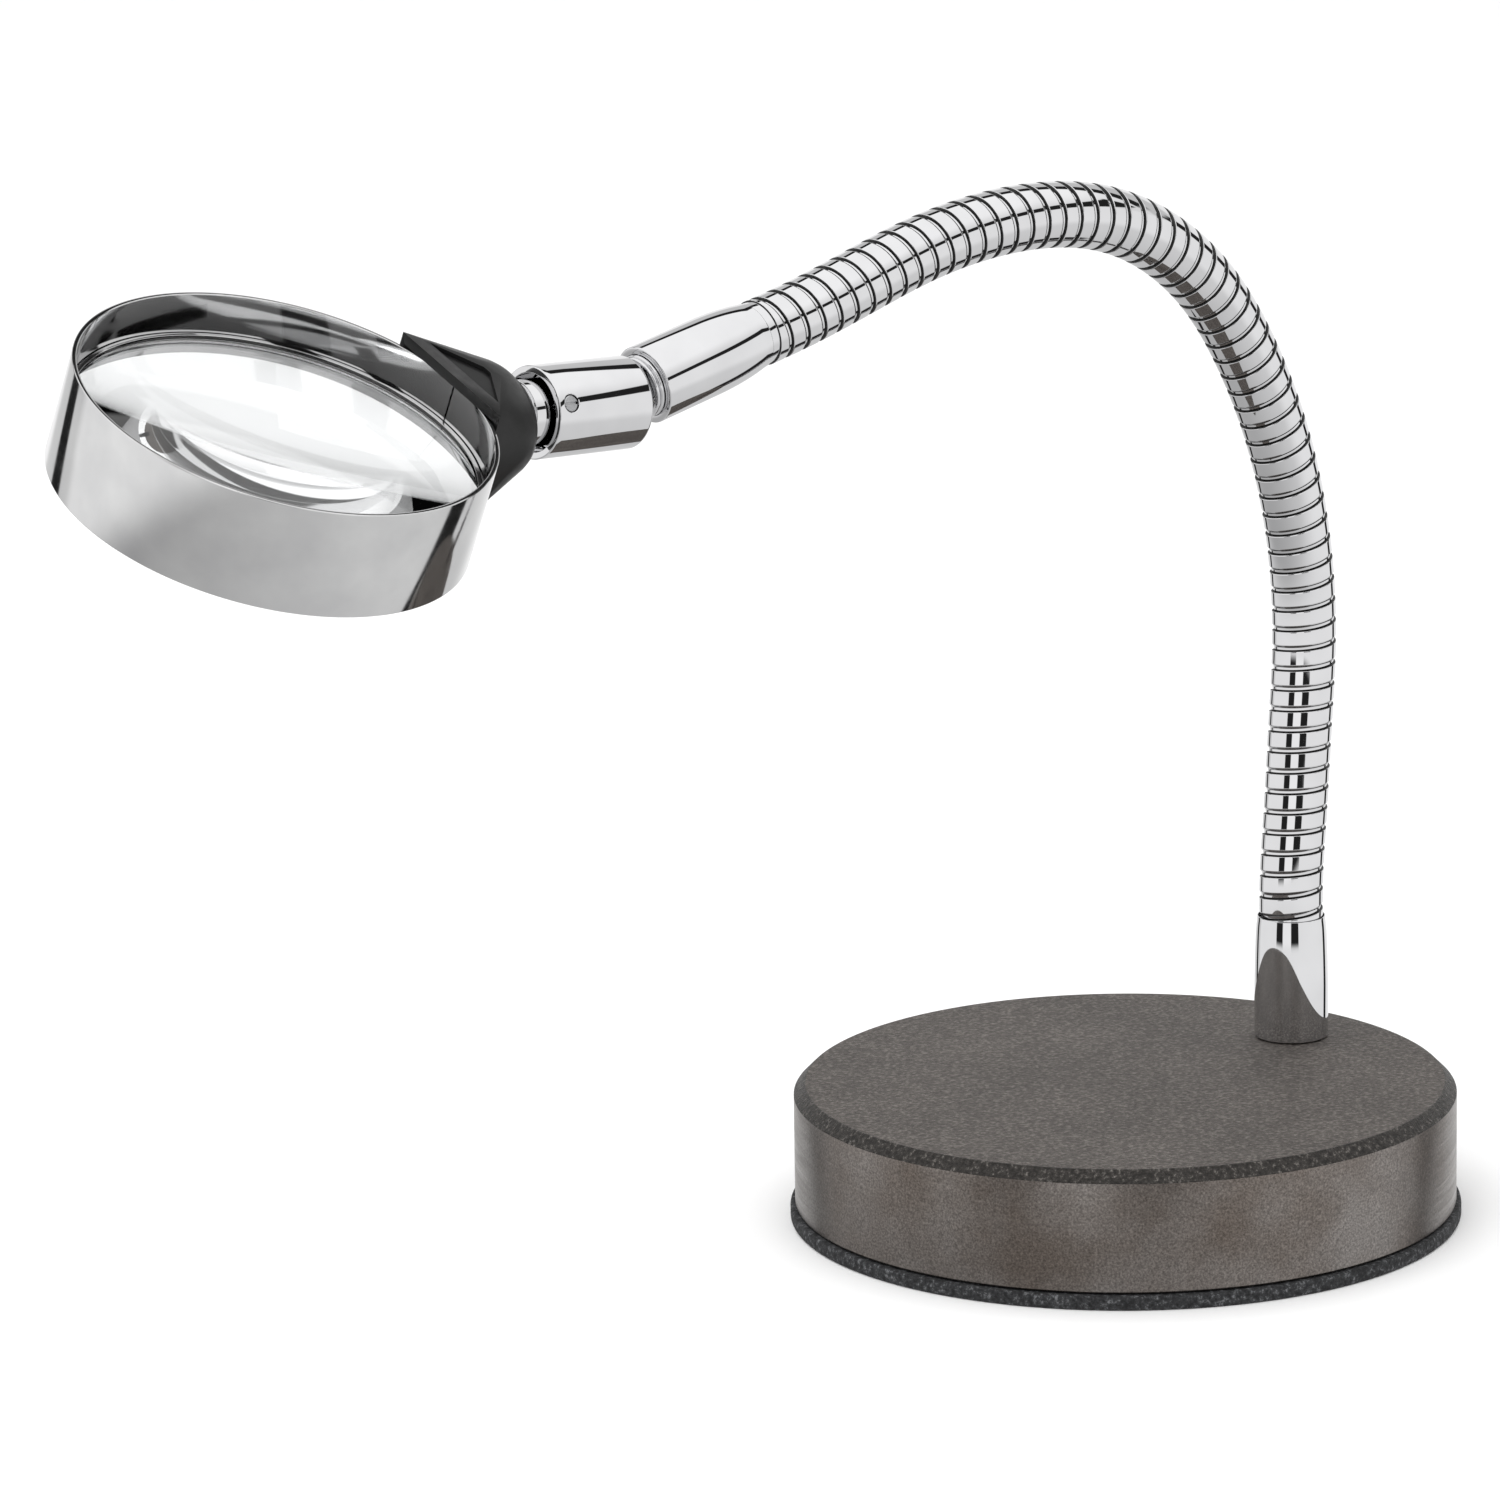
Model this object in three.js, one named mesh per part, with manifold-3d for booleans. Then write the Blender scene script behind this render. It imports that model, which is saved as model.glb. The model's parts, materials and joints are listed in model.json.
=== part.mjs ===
// A desk magnifier on a flexible neck: a heavy round base, a stay-put gooseneck, a ball joint and a lens in a
// tall metal ring. Millimetres, +Z up. The origin is the centre of the foot pad's underside. The neck stands on
// the +X side of the base and reaches over to the -X side, bent in the XZ plane.
import * as THREE from "three";
import { ConvexGeometry } from "three/addons/geometries/ConvexGeometry.js";
import { mergeVertices } from "three/addons/utils/BufferGeometryUtils.js";
import Module from "manifold-3d";

const wasm = await Module();
wasm.setup();

// ---------------------------------------------------------------- driving dimensions
const GAP = 0.3; // clearance left between pieces that touch

const BASE = { radius: 75, bottom: 3.6, top: 31.3, chamfer: 2.5, sides: 72 };
const PAD = { radius: 76.1, thickness: 3.3, edge: 0.6 };
const SCREW = { shank: 2.5, head: 4.25, headHeight: 5, top: 51, socket: 2.3, socketDepth: 2.6 };
const WASHER = { radius: 8.5, thickness: 1.6 };
const COUNTERBORE = { radius: 9.5, ceiling: 12 };

const FERRULE = { x: 52.4, radius: 8.5, top: 60, floor: 43.5, bore: 7.6 };
// How far the lower ferrule has narrowed at each depth below its mouth, as [depth, narrowing].
const FERRULE_TAPER = [[12, 0], [8, 0.12], [5, 0.25], [3, 0.42], [1.5, 0.6], [0.4, 0.75]];
const PLUG = { flange: 7.2, flangeHeight: 2, spigot: 3.7, reach: 8, tipReach: 2 };

// The hose's line at rest, as runs of [length, turn towards the lens in degrees], from the ferrule's mouth up.
const NECK_RUNS = [
  [3, 0],
  [6, -4.4],
  [47, 0],
  [91, 39.2],
  [62.5, 50.2],
  [46, 20.2],
  [29.4, 0],
  [1, -3.2],
  [11.5, 0],
];
const HOSE = { radius: 7.35, links: 17, sides: 16, footLength: 6, tipLength: 11 };

const UPPER = { length: 33, bore: 4, radius: 8.55, mouth: 7 };
const BALL = { radius: 6.7, standOff: 12, neck: 3.4, collar: 6.9, groove: 6.3, collarLength: 2, shank: 3.6 };
const BALL_ZONE = 4; // half length of the liner along the socket's axis

const HEAD_HEADING = 86.8; // degrees from straight up, towards the lens
const HEAD_ROLL = -22; // degrees that the lens is turned about its handle
const SLEEVE = { radius: 9.95, bore: 8.4, back: -6.5, front: 19.3, round: 1 };
const GRUB = { radius: 1.7, along: 15.9, tip: 7.5, end: 9.75, up: 18, slot: 0.55, slotDepth: 0.6 };
const STEM = { radius: 7.2, shoulder: 8.1, back: 12.2, shoulderEnd: 13.9, front: 25.3, stud: 2.2, studLength: 8.3 };

const RING = { radius: 45, wall: 1, top: 9.4, bottom: -14.6, centre: 86.7, slit: 0.5, sides: 60 };
const TAB = { length: 4.5, thickness: 1, low: -8, high: 6 };
const LENS = { radius: 43.5, top: -1.4, bottom: -4.4, crown: 5.5 };
const LENS_RING_INNER = 42.8; // inner radius of the two thin rings that hold the lens
const HOLDER = { face: 42.3, halfWidth: 17.5, halfHeight: 11.9, pocket: 1 };
// The holder's oval neck, from the yoke to the handle, as [distance, half width, half height].
const HOLDER_NECK = [
  [53.4, 15.9, 12.2],
  [56.5, 15, 11.6],
  [59.1, 12.8, 10],
  [60.7, 10.6, 8.5],
  [61.4, 9, 7.6],
];

// ---------------------------------------------------------------- materials
function material(color, roughness, metalness, extra = {}) {
  return new THREE.MeshStandardMaterial({ color, roughness, metalness, ...extra });
}
const MATERIALS = {
  castIron: material(0x6b6561, 0.7, 0.6),
  foam: material(0x34363a, 0.95, 0),
  chrome: material(0xdedfe1, 0.08, 1),
  steel: material(0x9fa2a6, 0.35, 1),
  brass: material(0xb99a4e, 0.35, 1),
  nylon: material(0xe9e6dc, 0.5, 0),
  blackPlastic: material(0x1c1d1f, 0.45, 0),
  glass: material(0xf2f7f6, 0.02, 0, { transparent: true, opacity: 0.35 }),
};

// ---------------------------------------------------------------- shapes
const radians = THREE.MathUtils.degToRad;

/** A solid of revolution about +Z from [radius, height] points, run so that the solid is on their left. */
function lathe(profile, sides = 24) {
  const points = profile.map(([r, z]) => new THREE.Vector2(r, z));
  return new THREE.LatheGeometry(points, sides).rotateX(Math.PI / 2);
}

/** A ring or tube: the profile is closed on itself. */
function hollow(profile, sides = 24) {
  return lathe([...profile, profile[0]], sides);
}

/** A plain tube between two radii and two heights. */
function tube(inner, outer, low, high, sides = 24) {
  return hollow([[inner, low], [outer, low], [outer, high], [inner, high]], sides);
}

/** A plain rod between two heights. */
function rod(radius, low, high, sides = 24) {
  return lathe([[0, low], [radius, low], [radius, high], [0, high]], sides);
}

/** Points of an arc in the [radius, height] plane about (0, height), at angles from the axis in degrees. */
function arc(radius, height, from, to, steps) {
  return Array.from({ length: steps + 1 }, (_, i) => {
    const angle = radians(from + ((to - from) * i) / steps);
    return [radius * Math.sin(angle), height + radius * Math.cos(angle)];
  });
}

/** A flat outline in XY, given by its corners, raised between two heights. */
function prism(corners, low, high) {
  const shape = new THREE.Shape(corners.map(([x, y]) => new THREE.Vector2(x, y)));
  const geometry = new THREE.ExtrudeGeometry(shape, { depth: high - low, bevelEnabled: false });
  return geometry.translate(0, 0, low);
}

function box(low, high) {
  const size = high.map((h, i) => h - low[i]);
  const centre = high.map((h, i) => (h + low[i]) / 2);
  return new THREE.BoxGeometry(...size).translate(...centre);
}

function solidOf(geometry) {
  const bare = geometry.clone();
  bare.deleteAttribute("normal");
  bare.deleteAttribute("uv");
  const merged = mergeVertices(bare, 1e-4);
  const index = Array.from(merged.index.array);
  const kept = [];
  for (let i = 0; i < index.length; i += 3) {
    const [a, b, c] = index.slice(i, i + 3);
    if (a !== b && b !== c && c !== a) kept.push(a, b, c);
  }
  return new wasm.Manifold(
    new wasm.Mesh({
      numProp: 3,
      vertProperties: Float32Array.from(merged.attributes.position.array),
      triVerts: Uint32Array.from(kept),
    }),
  );
}

function geometryOf(solid) {
  const mesh = solid.getMesh();
  const geometry = new THREE.BufferGeometry();
  geometry.setAttribute("position", new THREE.BufferAttribute(mesh.vertProperties, 3));
  geometry.setIndex(new THREE.BufferAttribute(mesh.triVerts, 1));
  return geometry;
}

function cut(geometry, ...tools) {
  return geometryOf(tools.reduce((solid, tool) => solid.subtract(solidOf(tool)), solidOf(geometry)));
}

function join(geometry, ...others) {
  return geometryOf(others.reduce((solid, other) => solid.add(solidOf(other)), solidOf(geometry)));
}

function add(group, name, geometry, look) {
  const mesh = new THREE.Mesh(geometry, look);
  mesh.name = name;
  group.add(mesh);
}

// ---------------------------------------------------------------- the hose's line
/** The place and heading at a distance along the hose's line. Heading 0 is straight up, 90 is towards -X. */
function along(distance) {
  const place = { x: FERRULE.x, z: FERRULE.top, heading: 0 };
  let left = distance;
  for (const [length, turn] of NECK_RUNS) {
    const share = Math.min(left, length) / length;
    const angle = radians(turn * share);
    const middle = radians(place.heading) + angle / 2;
    const chord = length * share * (angle ? Math.sin(angle / 2) / (angle / 2) : 1);
    place.x -= chord * Math.sin(middle);
    place.z += chord * Math.cos(middle);
    place.heading += turn * share;
    left -= length * share;
    if (left <= 0) break;
  }
  return place;
}

/** A group whose +Z points along a heading, at a place in the XZ plane. */
function groupAt({ x, z, heading }) {
  const group = new THREE.Group();
  group.position.set(x, 0, z);
  group.rotation.y = -radians(heading);
  return group;
}

// ---------------------------------------------------------------- base
function makeBase(stand) {
  const { radius, bottom, top, chamfer, sides } = BASE;
  const disc = lathe(
    [[0, bottom], [radius, bottom], [radius, top - chamfer], [radius - chamfer, top], [0, top]],
    sides,
  );
  const counterbore = rod(COUNTERBORE.radius, bottom - 1, COUNTERBORE.ceiling).translate(FERRULE.x, 0, 0);
  const screwHole = rod(SCREW.shank + GAP, bottom, top + 1).translate(FERRULE.x, 0, 0);
  add(stand, "base_disc", cut(disc, counterbore, screwHole), MATERIALS.castIron);

  const { thickness, edge } = PAD;
  const pad = [
    [0, 0],
    [PAD.radius - edge, 0],
    [PAD.radius, edge],
    [PAD.radius, thickness - edge],
    [PAD.radius - edge, thickness],
    [0, thickness],
  ];
  add(stand, "foot_pad", lathe(pad, sides), MATERIALS.foam);

  const post = new THREE.Group();
  post.position.x = FERRULE.x;
  stand.add(post);
  makeBaseScrew(post);
  makeLowerFerrule(post, top + GAP);
}

function makeBaseScrew(post) {
  const washerTop = COUNTERBORE.ceiling - GAP;
  const washerBottom = washerTop - WASHER.thickness;
  const headTop = washerBottom - GAP;
  const headBottom = headTop - SCREW.headHeight;
  const washer = tube(SCREW.shank + GAP, WASHER.radius, washerBottom, washerTop);
  add(post, "base_washer", washer, MATERIALS.steel);
  const screw = lathe([
    [0, headBottom],
    [SCREW.head - 0.4, headBottom],
    [SCREW.head, headBottom + 0.4],
    [SCREW.head, headTop],
    [SCREW.shank, headTop],
    [SCREW.shank, SCREW.top - 1],
    [SCREW.shank - 0.8, SCREW.top],
    [0, SCREW.top],
  ], 24);
  const socket = rod(SCREW.socket, headBottom - 1, headBottom + SCREW.socketDepth, 6);
  add(post, "base_screw", cut(screw, socket), MATERIALS.steel);
}

function makeLowerFerrule(post, bottom) {
  const { radius, bore, floor, top } = FERRULE;
  const ferrule = hollow([
    [SCREW.shank + GAP, bottom],
    [radius, bottom],
    ...FERRULE_TAPER.map(([depth, narrowing]) => [radius - narrowing, top - depth]),
    [bore, top],
    [bore, floor],
    [SCREW.shank + GAP, floor],
  ]);
  add(post, "lower_ferrule", ferrule, MATERIALS.chrome);
  // The threaded plug that the base screw pulls down, pressed into the hose's foot.
  const flangeTop = floor + GAP + PLUG.flangeHeight;
  const plug = hollow([
    [SCREW.shank + GAP, floor + GAP],
    [PLUG.flange, floor + GAP],
    [PLUG.flange, flangeTop],
    [PLUG.spigot, flangeTop],
    [PLUG.spigot, flangeTop + PLUG.reach],
    [SCREW.shank + GAP, flangeTop + PLUG.reach],
  ], 24);
  add(post, "neck_foot_plug", plug, MATERIALS.steel);
}

// ---------------------------------------------------------------- neck
const HOSE_LENGTH = NECK_RUNS.reduce((sum, [length]) => sum + length, 0);
const PIVOT_COUNT = HOSE.links - 1;
const PIVOT_STEP = (HOSE_LENGTH - HOSE.footLength - HOSE.tipLength) / (PIVOT_COUNT - 1);
const PIVOTS = Array.from({ length: PIVOT_COUNT }, (_, i) => along(HOSE.footLength + i * PIVOT_STEP));

/** The cup-shaped end of a link, centred on its pivot, from the axis out to its rim. */
function cupProfile() {
  const radius = HOSE.radius + GAP;
  return arc(radius, 0, 0, THREE.MathUtils.radToDeg(Math.asin(HOSE.radius / radius)), 3);
}

/** One link of the hose, from its cup-shaped end to its ball-shaped end. */
function linkProfile(length) {
  return [...cupProfile(), ...arc(HOSE.radius, length, 90, 0, 3)];
}

/** The hose's foot: a socket for the plug below, and the first ball-shaped end above. */
function footProfile(low, high) {
  const bore = PLUG.spigot + GAP;
  const depth = low + PLUG.reach + GAP;
  return [[0, depth], [bore, depth], [bore, low], [HOSE.radius, low], ...arc(HOSE.radius, high, 90, 0, 3)];
}

/** The hose's last link: a cup-shaped end below, and a socket for the upper plug. */
function tipProfile() {
  const end = HOSE.tipLength - GAP;
  const bore = PLUG.spigot + GAP;
  const floor = HOSE.tipLength - PLUG.tipReach - GAP;
  return [...cupProfile(), [HOSE.radius, end], [bore, end], [bore, floor], [0, floor]];
}

function makeNeck(stand) {
  const linkName = (number) => "neck_link_" + String(number).padStart(2, "0");
  const low = FERRULE.floor + PLUG.flangeHeight + 2 * GAP;
  const foot = groupAt({ x: FERRULE.x, z: 0, heading: 0 });
  stand.add(foot);
  const footLink = lathe(footProfile(low, PIVOTS[0].z), HOSE.sides);
  add(foot, linkName(1), footLink, MATERIALS.chrome);

  for (let i = 1; i < PIVOT_COUNT; i++) {
    const [start, end] = [PIVOTS[i - 1], PIVOTS[i]];
    const run = [start.x - end.x, end.z - start.z];
    const heading = THREE.MathUtils.radToDeg(Math.atan2(...run));
    const link = groupAt({ ...start, heading });
    stand.add(link);
    add(link, linkName(i + 1), lathe(linkProfile(Math.hypot(...run)), HOSE.sides), MATERIALS.chrome);
  }

  const end = along(HOSE_LENGTH);
  const last = groupAt(end);
  stand.add(last);
  const tip = lathe(tipProfile(), HOSE.sides).translate(0, 0, -HOSE.tipLength);
  add(last, linkName(HOSE.links), tip, MATERIALS.chrome);
}

// ---------------------------------------------------------------- upper ferrule and ball
function makeUpperFerrule(stand) {
  const group = groupAt(along(HOSE_LENGTH));
  stand.add(group);
  const { length, bore, radius, mouth } = UPPER;
  const ferrule = hollow([
    [bore, 0],
    [mouth, 0],
    [mouth, 2.2],
    [mouth + 0.35, 2.6],
    [radius - 0.65, 6],
    [radius - 0.25, 10],
    [radius, 15],
    [radius, length - 0.3],
    [radius - 0.3, length],
    [bore, length],
  ]);
  add(group, "upper_ferrule", ferrule, MATERIALS.chrome);
  add(group, "neck_head_plug", rod(PLUG.spigot, -PLUG.tipReach, 14), MATERIALS.steel);

  const { standOff, collar, groove, collarLength, neck, shank } = BALL;
  const face = length + GAP;
  const centre = length + standOff;
  const neckAngle = 180 - THREE.MathUtils.radToDeg(Math.asin(neck / BALL.radius));
  const stud = lathe([
    [0, 17],
    [shank, 17],
    [shank, face],
    [groove, face],
    [collar, face + 0.25 * collarLength],
    [groove, face + 0.5 * collarLength],
    [collar, face + 0.75 * collarLength],
    [groove, face + collarLength],
    [neck, face + collarLength],
    ...arc(BALL.radius, centre, neckAngle, 0, 6),
  ]);
  add(group, "ball_stud", stud, MATERIALS.chrome);
}

/** The ball's centre, where the socket and the head begin. */
function ballCentre() {
  const end = along(HOSE_LENGTH);
  const reach = UPPER.length + BALL.standOff;
  const angle = radians(end.heading);
  return { x: end.x - reach * Math.sin(angle), z: end.z + reach * Math.cos(angle), heading: HEAD_HEADING };
}

// ---------------------------------------------------------------- socket
function makeSocket(stand) {
  const socket = groupAt(ballCentre());
  stand.add(socket);
  const linerInner = BALL.radius + GAP;
  const linerOuter = SLEEVE.bore - GAP;
  const rim = (radius) => THREE.MathUtils.radToDeg(Math.acos(BALL_ZONE / radius));
  const liner = hollow([
    ...arc(linerInner, 0, rim(linerInner), 180 - rim(linerInner), 3),
    ...arc(linerOuter, 0, 180 - rim(linerOuter), rim(linerOuter), 4),
  ], 20);
  add(socket, "ball_liner", liner, MATERIALS.nylon);
  add(socket, "ball_retaining_ring", tube(6.8, linerOuter, -5.9, -4.9), MATERIALS.steel);

  const { radius, bore, back, front, round } = SLEEVE;
  const sleeve = hollow([
    [bore, back],
    [radius - round, back],
    [radius - 0.3 * round, back + 0.3 * round],
    [radius, back + round],
    [radius, front - 0.3],
    [radius - 0.3, front],
    [bore + 0.2, front],
    [bore, front - 0.2],
  ], 28);
  const grubHole = alongGrub(rod(GRUB.radius + GAP, SLEEVE.bore - 2, SLEEVE.radius + 2, 16));
  add(socket, "clamp_sleeve", cut(sleeve, grubHole), MATERIALS.chrome);

  const screw = rod(GRUB.radius, GRUB.tip, GRUB.end, 16);
  const slot = box([-3, -GRUB.slot / 2, GRUB.end - GRUB.slotDepth], [3, GRUB.slot / 2, GRUB.end + 1]);
  add(socket, "clamp_screw", alongGrub(cut(screw, slot)), MATERIALS.steel);

  const padCup = SLEEVE.bore;
  const padRim = THREE.MathUtils.radToDeg(Math.asin(7.6 / padCup));
  const pad = lathe([...arc(padCup, 0, 0, padRim, 4), [linerOuter, 3.6], [linerOuter, 10.4], [0, 10.4]], 20);
  add(socket, "thrust_pad", pad, MATERIALS.nylon);
  add(socket, "pressure_spring", tube(4.5, 7.8, 10.7, 11.9, 20), MATERIALS.steel);
}

/** Turns a piece made along +Z so that it lies on the clamp screw's axis. */
function alongGrub(geometry) {
  return geometry.rotateX(Math.PI / 2).rotateZ(radians(GRUB.up)).translate(0, 0, GRUB.along);
}

// ---------------------------------------------------------------- head
function makeHead(stand) {
  const head = groupAt(ballCentre());
  stand.add(head);
  const { radius, shoulder, back, shoulderEnd, front, stud, studLength } = STEM;
  const stem = lathe([
    [0, back],
    [shoulder, back],
    [shoulder, shoulderEnd],
    [radius, shoulderEnd],
    [radius, front - 1.9],
    [radius - 0.6, front - 1.7],
    [radius - 0.6, front - 1.5],
    [radius, front - 1.3],
    [radius, front - 0.2],
    [radius - 0.2, front],
    [stud, front],
    [stud, front + studLength],
    [0, front + studLength],
  ]);
  add(head, "stem", stem, MATERIALS.chrome);

  const roll = new THREE.Group();
  roll.rotation.z = radians(HEAD_ROLL);
  head.add(roll);
  // The ring's own frame: +X from the lens towards the ball joint, +Z out of the lens's upper side.
  const ring = new THREE.Group();
  ring.position.z = RING.centre;
  ring.rotation.y = Math.PI / 2;
  roll.add(ring);
  makeLensRing(ring);
  makeLens(ring);
  makeHolder(ring);
}

function makeLensRing(ring) {
  const { radius, wall, top, bottom, slit, sides } = RING;
  const half = Math.asin(slit / 2 / radius);
  const shape = new THREE.Shape();
  shape.absarc(0, 0, radius, half, 2 * Math.PI - half, false);
  shape.absarc(0, 0, radius - wall, 2 * Math.PI - half, half, true);
  const band = new THREE.ExtrudeGeometry(shape, {
    depth: top - bottom,
    bevelEnabled: false,
    curveSegments: sides,
  }).translate(0, 0, bottom);
  const tabs = [-1, 1].map((side) => {
    const edges = [side * (slit / 2), side * (slit / 2 + TAB.thickness)].sort((a, b) => a - b);
    return box([radius - 0.5 * wall, edges[0], TAB.low], [radius + TAB.length, edges[1], TAB.high]);
  });
  add(ring, "lens_ring", join(band, ...tabs), MATERIALS.chrome);
}

function makeLens(ring) {
  const { radius, top, bottom, crown } = LENS;
  const steps = 5;
  const face = (edge, rise) =>
    Array.from({ length: steps + 1 }, (_, i) => {
      const r = (radius * i) / steps;
      return [r, edge + rise * (1 - (r / radius) ** 2)];
    });
  const lens = lathe([...face(bottom, -crown), ...face(top, crown).reverse()], 40);
  add(ring, "lens", lens, MATERIALS.glass);
  const outer = RING.radius - RING.wall - 0.4;
  add(ring, "lens_retaining_ring", tube(LENS_RING_INNER, outer, -0.7, 0.3, 40), MATERIALS.steel);
  add(ring, "lens_seat_ring", tube(LENS_RING_INNER, outer, -6.3, -5.1, 40), MATERIALS.steel);
}

function makeHolder(ring) {
  const { face, halfWidth, halfHeight, pocket } = HOLDER;
  // The yoke spreads from an oval neck to a flat-topped rectangle at the lens's ring.
  const corners = [-1, 1].flatMap((side) => [
    [face, side * halfWidth, halfHeight],
    [face, side * halfWidth, -halfHeight],
  ]);
  const ovals = HOLDER_NECK.flatMap(([reach, wide, high]) =>
    Array.from({ length: 28 }, (_, i) => {
      const angle = (2 * Math.PI * i) / 28;
      return [reach, wide * Math.cos(angle), Math.min(halfHeight, high * Math.sin(angle))];
    }),
  );
  const yoke = new ConvexGeometry([...corners, ...ovals].map((point) => new THREE.Vector3(...point)));
  // The yoke's top plate reaches in over the ring's rim; below it the yoke hugs the ring.
  const ringSpace = rod(RING.radius + GAP, -40, RING.top + GAP, RING.sides);
  const tabSlot = box(
    [40, -RING.slit / 2 - TAB.thickness - GAP, TAB.low - GAP],
    [RING.radius + TAB.length + GAP, RING.slit / 2 + TAB.thickness + GAP, TAB.high + GAP],
  );
  const pocketOutline = [[45.6, -12.4], [51.8, -1.2], [51.8, 1.2], [45.6, 12.4]];
  const panel = prism(pocketOutline, halfHeight - pocket, halfHeight + 1);
  const insert = { inner: STEM.stud + GAP, outer: 3.4, low: 52.5, high: 60.9 };
  const insertHole = rod(insert.outer + GAP, insert.low - GAP, 63).rotateY(Math.PI / 2);
  const body = cut(yoke, ringSpace, tabSlot, panel, insertHole);
  add(ring, "holder", body, MATERIALS.blackPlastic);
  const sleeve = tube(insert.inner, insert.outer, insert.low, insert.high).rotateY(Math.PI / 2);
  add(ring, "holder_insert", sleeve, MATERIALS.brass);
}

// ---------------------------------------------------------------- the whole stand
const magnifier = new THREE.Group();
makeBase(magnifier);
makeNeck(magnifier);
makeUpperFerrule(magnifier);
makeSocket(magnifier);
makeHead(magnifier);

export default magnifier;
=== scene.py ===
"""A desk magnifier: iron base, strip-wound chrome neck, ball joint and a lens in a tall ring."""

import json
import math

import bmesh
import bpy
import numpy as np
from mathutils import Matrix, Vector

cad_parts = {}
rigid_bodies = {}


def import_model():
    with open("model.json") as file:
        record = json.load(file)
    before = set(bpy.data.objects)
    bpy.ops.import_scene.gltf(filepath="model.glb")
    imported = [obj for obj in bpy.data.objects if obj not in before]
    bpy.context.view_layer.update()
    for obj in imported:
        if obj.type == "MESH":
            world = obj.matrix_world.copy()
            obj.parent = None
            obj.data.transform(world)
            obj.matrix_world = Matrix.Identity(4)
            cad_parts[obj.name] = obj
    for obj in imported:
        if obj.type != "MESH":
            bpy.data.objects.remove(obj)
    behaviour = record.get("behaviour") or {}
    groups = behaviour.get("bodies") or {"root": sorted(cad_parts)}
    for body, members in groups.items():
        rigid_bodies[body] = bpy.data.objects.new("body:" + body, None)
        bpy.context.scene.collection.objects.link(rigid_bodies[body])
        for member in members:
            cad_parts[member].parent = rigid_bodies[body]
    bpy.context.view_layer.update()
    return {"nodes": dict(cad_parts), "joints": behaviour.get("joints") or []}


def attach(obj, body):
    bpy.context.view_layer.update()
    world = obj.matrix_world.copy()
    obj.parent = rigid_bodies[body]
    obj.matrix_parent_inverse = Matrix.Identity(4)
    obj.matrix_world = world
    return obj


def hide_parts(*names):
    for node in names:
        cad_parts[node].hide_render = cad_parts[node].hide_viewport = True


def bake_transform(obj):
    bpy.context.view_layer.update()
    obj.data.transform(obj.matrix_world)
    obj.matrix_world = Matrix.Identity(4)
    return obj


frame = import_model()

MM = 0.001
JOINTS = {joint["name"]: joint for joint in frame["joints"]}
NECK_JOINTS = [joint for joint in frame["joints"] if joint["name"].startswith("neck_bend")]

# Dimensions in millimetres.
BASE_RADIUS = 75.0
BASE_BOTTOM, BASE_TOP = 3.6, 31.3
PAD_RADIUS, PAD_TOP = 76.1, 3.3
FERRULE_BOTTOM, FERRULE_TOP = 31.6, 60.0
HOSE_RADIUS, HOSE_PITCH = 7.35, 4.8
BALL_TO_FERRULE, FERRULE_LENGTH = 12.0, 33.0
HEAD_ROLL = -22.0
RING_RADIUS, RING_WALL, RING_TOP, RING_BOTTOM = 45.0, 1.0, 9.4, -14.6
RING_CENTRE = 86.7
CAMERA_PLACE = Vector((-1.3087, -1.4035, 0.5794))
CAMERA_AZIMUTH, CAMERA_PITCH, CAMERA_ROLL = 40.5, 13.78, -0.91


# ---------------------------------------------------------------- node materials
class Look:
    """A Principled material and short calls that add nodes to it."""

    def __init__(self, name, color, roughness, metallic=0.0):
        self.material = bpy.data.materials.new(name)
        self.material.use_nodes = True
        self.tree = self.material.node_tree
        self.shader = self.tree.nodes["Principled BSDF"]
        self.shader.inputs["Base Color"].default_value = (*color, 1)
        self.shader.inputs["Roughness"].default_value = roughness
        self.shader.inputs["Metallic"].default_value = metallic
        self.material.diffuse_color = (*color, 1)

    def node(self, kind, settings=None, **inputs):
        made = self.tree.nodes.new("ShaderNode" + kind)
        for key, value in (settings or {}).items():
            setattr(made, key, value)
        for key, value in inputs.items():
            self.feed(made, key.replace("_", " "), value)
        return made

    def feed(self, node, socket, value):
        target = node.inputs[int(socket)] if socket.isdigit() else node.inputs[socket]
        if isinstance(value, bpy.types.NodeSocket):
            self.tree.links.new(value, target)
        else:
            target.default_value = value

    def place(self, stretch=(1, 1, 1)):
        """The piece's own coordinates in millimetres, stretched."""
        where = self.node("TexCoord").outputs["Object"]
        scale = tuple(1000 * s for s in stretch)
        return self.node("Mapping", Vector=where, Scale=scale).outputs["Vector"]

    def noise(self, size, detail=3.0, stretch=(1, 1, 1), roughness=0.5):
        made = self.node("TexNoise", Vector=self.place(stretch), Scale=1 / size, Detail=detail)
        made.inputs["Roughness"].default_value = roughness
        return made.outputs["Fac"]

    def ramp(self, value, *stops):
        made = self.node("ValToRGB", Fac=value)
        points = made.color_ramp.elements
        while len(points) < len(stops):
            points.new(0.5)
        for point, (at, shade) in zip(points, stops):
            point.position = at
            point.color = (*shade, 1) if isinstance(shade, tuple) else (shade, shade, shade, 1)
        return made.outputs["Color"]

    def color(self, value):
        self.feed(self.shader, "Base Color", value)

    def rough(self, value):
        self.feed(self.shader, "Roughness", value)

    def bump(self, height, strength, depth):
        made = self.node("Bump", Height=height, Strength=strength, Distance=depth * MM)
        self.feed(self.shader, "Normal", made.outputs["Normal"])


def make_chrome():
    look = Look("chrome", (0.69, 0.69, 0.7), 0.05, 1.0)
    look.color(look.ramp(look.noise(9, 2), (0.3, (0.67, 0.67, 0.68)), (0.7, (0.71, 0.71, 0.72))))
    look.rough(look.ramp(look.noise(2.5, 4), (0.35, 0.015), (0.75, 0.045)))
    return look.material


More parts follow.
